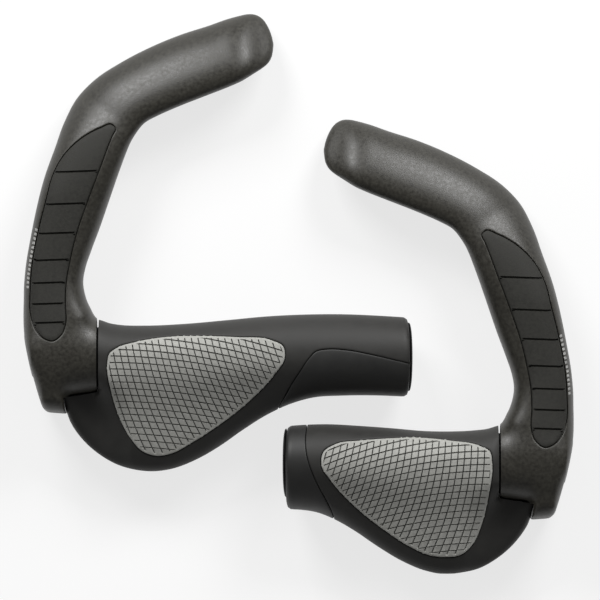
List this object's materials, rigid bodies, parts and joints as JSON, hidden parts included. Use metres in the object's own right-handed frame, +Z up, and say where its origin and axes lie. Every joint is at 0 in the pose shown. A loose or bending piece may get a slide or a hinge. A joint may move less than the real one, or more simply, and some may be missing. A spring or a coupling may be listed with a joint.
{
  "type": "bar end grips",
  "caption": "Pair of bicycle handlebar grips, one long and one short, each with a wing-shaped palm support and a curved clamp-on bar end.",
  "frame": {"origin": "centre of the pair's bounding box, on the surface it lies on", "axes": "+X along both handlebar axes from the left grip towards the right, +Y the way the bicycle rolls (the bar ends point there), +Z up"},
  "size_m": [0.2338, 0.2384, 0.0346],
  "materials": {
    "rubber": "matt black, smooth",
    "inner_rubber": "satin black, smooth",
    "palm_rubber": "matt warm grey, moulded in small raised tiles",
    "core_nylon": "matt black glass-filled nylon",
    "composite": "satin black composite with a fine mottled grain",
    "pad_rubber": "matt black",
    "clamp_alloy": "satin anodised",
    "steel": "dark zinc",
    "cap_plastic": "satin black"
  },
  "bodies": {
    "left_grip": {"left_core_sleeve": "core_nylon", "left_rubber_body": "rubber", "left_inner_panel": "inner_rubber", "left_palm_pad": "palm_rubber"},
    "left_horn": {"left_bar_end": "composite", "left_upper_pad": "pad_rubber", "left_lower_pad": "pad_rubber", "left_clamp_band": "clamp_alloy", "left_clamp_nut": "steel"},
    "left_cap": {"left_end_cap": "cap_plastic"},
    "left_screw_washer": {"left_washer": "steel"},
    "left_screw": {"left_clamp_screw": "steel"},
    "right_grip": {"right_core_sleeve": "core_nylon", "right_rubber_body": "rubber", "right_inner_panel": "inner_rubber", "right_palm_pad": "palm_rubber"},
    "right_horn": {"right_bar_end": "composite", "right_upper_pad": "pad_rubber", "right_lower_pad": "pad_rubber", "right_clamp_band": "clamp_alloy", "right_clamp_nut": "steel"},
    "right_cap": {"right_end_cap": "cap_plastic"},
    "right_screw_washer": {"right_washer": "steel"},
    "right_screw": {"right_clamp_screw": "steel"}
  },
  "joints": [
    {"name": "left_horn_angle", "type": "hinge", "parent": "left_grip", "child": "left_horn", "pos_m": [-0.0857, -0.02697, 0.01732], "axis": [1, 0, 0], "range_deg": [-20, 50]},
    {"name": "left_cap_pull", "type": "slide", "parent": "left_horn", "child": "left_cap", "axis": [-1, 0, 0], "range_m": [0, 0.03]},
    {"name": "left_washer_lower", "type": "slide", "parent": "left_horn", "child": "left_screw_washer", "axis": [0, 0, -1], "range_m": [0, 0.0028]},
    {"name": "left_screw_turn", "type": "hinge", "parent": "left_screw_washer", "child": "left_screw", "pos_m": [-0.1045, -0.04437, 0.009], "axis": [0, 0, -1], "range_deg": [0, 1440]},
    {"name": "grips_apart", "type": "slide", "parent": "left_grip", "child": "right_grip", "axis": [1, 0, 0], "range_m": [0, 0.35]},
    {"name": "right_horn_angle", "type": "hinge", "parent": "right_grip", "child": "right_horn", "pos_m": [0.0857, -0.07197, 0.01732], "axis": [1, 0, 0], "range_deg": [-20, 50]},
    {"name": "right_cap_pull", "type": "slide", "parent": "right_horn", "child": "right_cap", "axis": [1, 0, 0], "range_m": [0, 0.03]},
    {"name": "right_washer_lower", "type": "slide", "parent": "right_horn", "child": "right_screw_washer", "axis": [0, 0, -1], "range_m": [0, 0.0028]},
    {"name": "right_screw_turn", "type": "hinge", "parent": "right_screw_washer", "child": "right_screw", "pos_m": [0.1045, -0.08937, 0.009], "axis": [0, 0, -1], "range_deg": [0, 1440]}
  ],
  "couplings": [
    {"joint": "left_screw_turn", "follows": "left_washer_lower", "rad_per_m": 8975.9},
    {"joint": "right_screw_turn", "follows": "right_washer_lower", "rad_per_m": 8975.9}
  ]
}
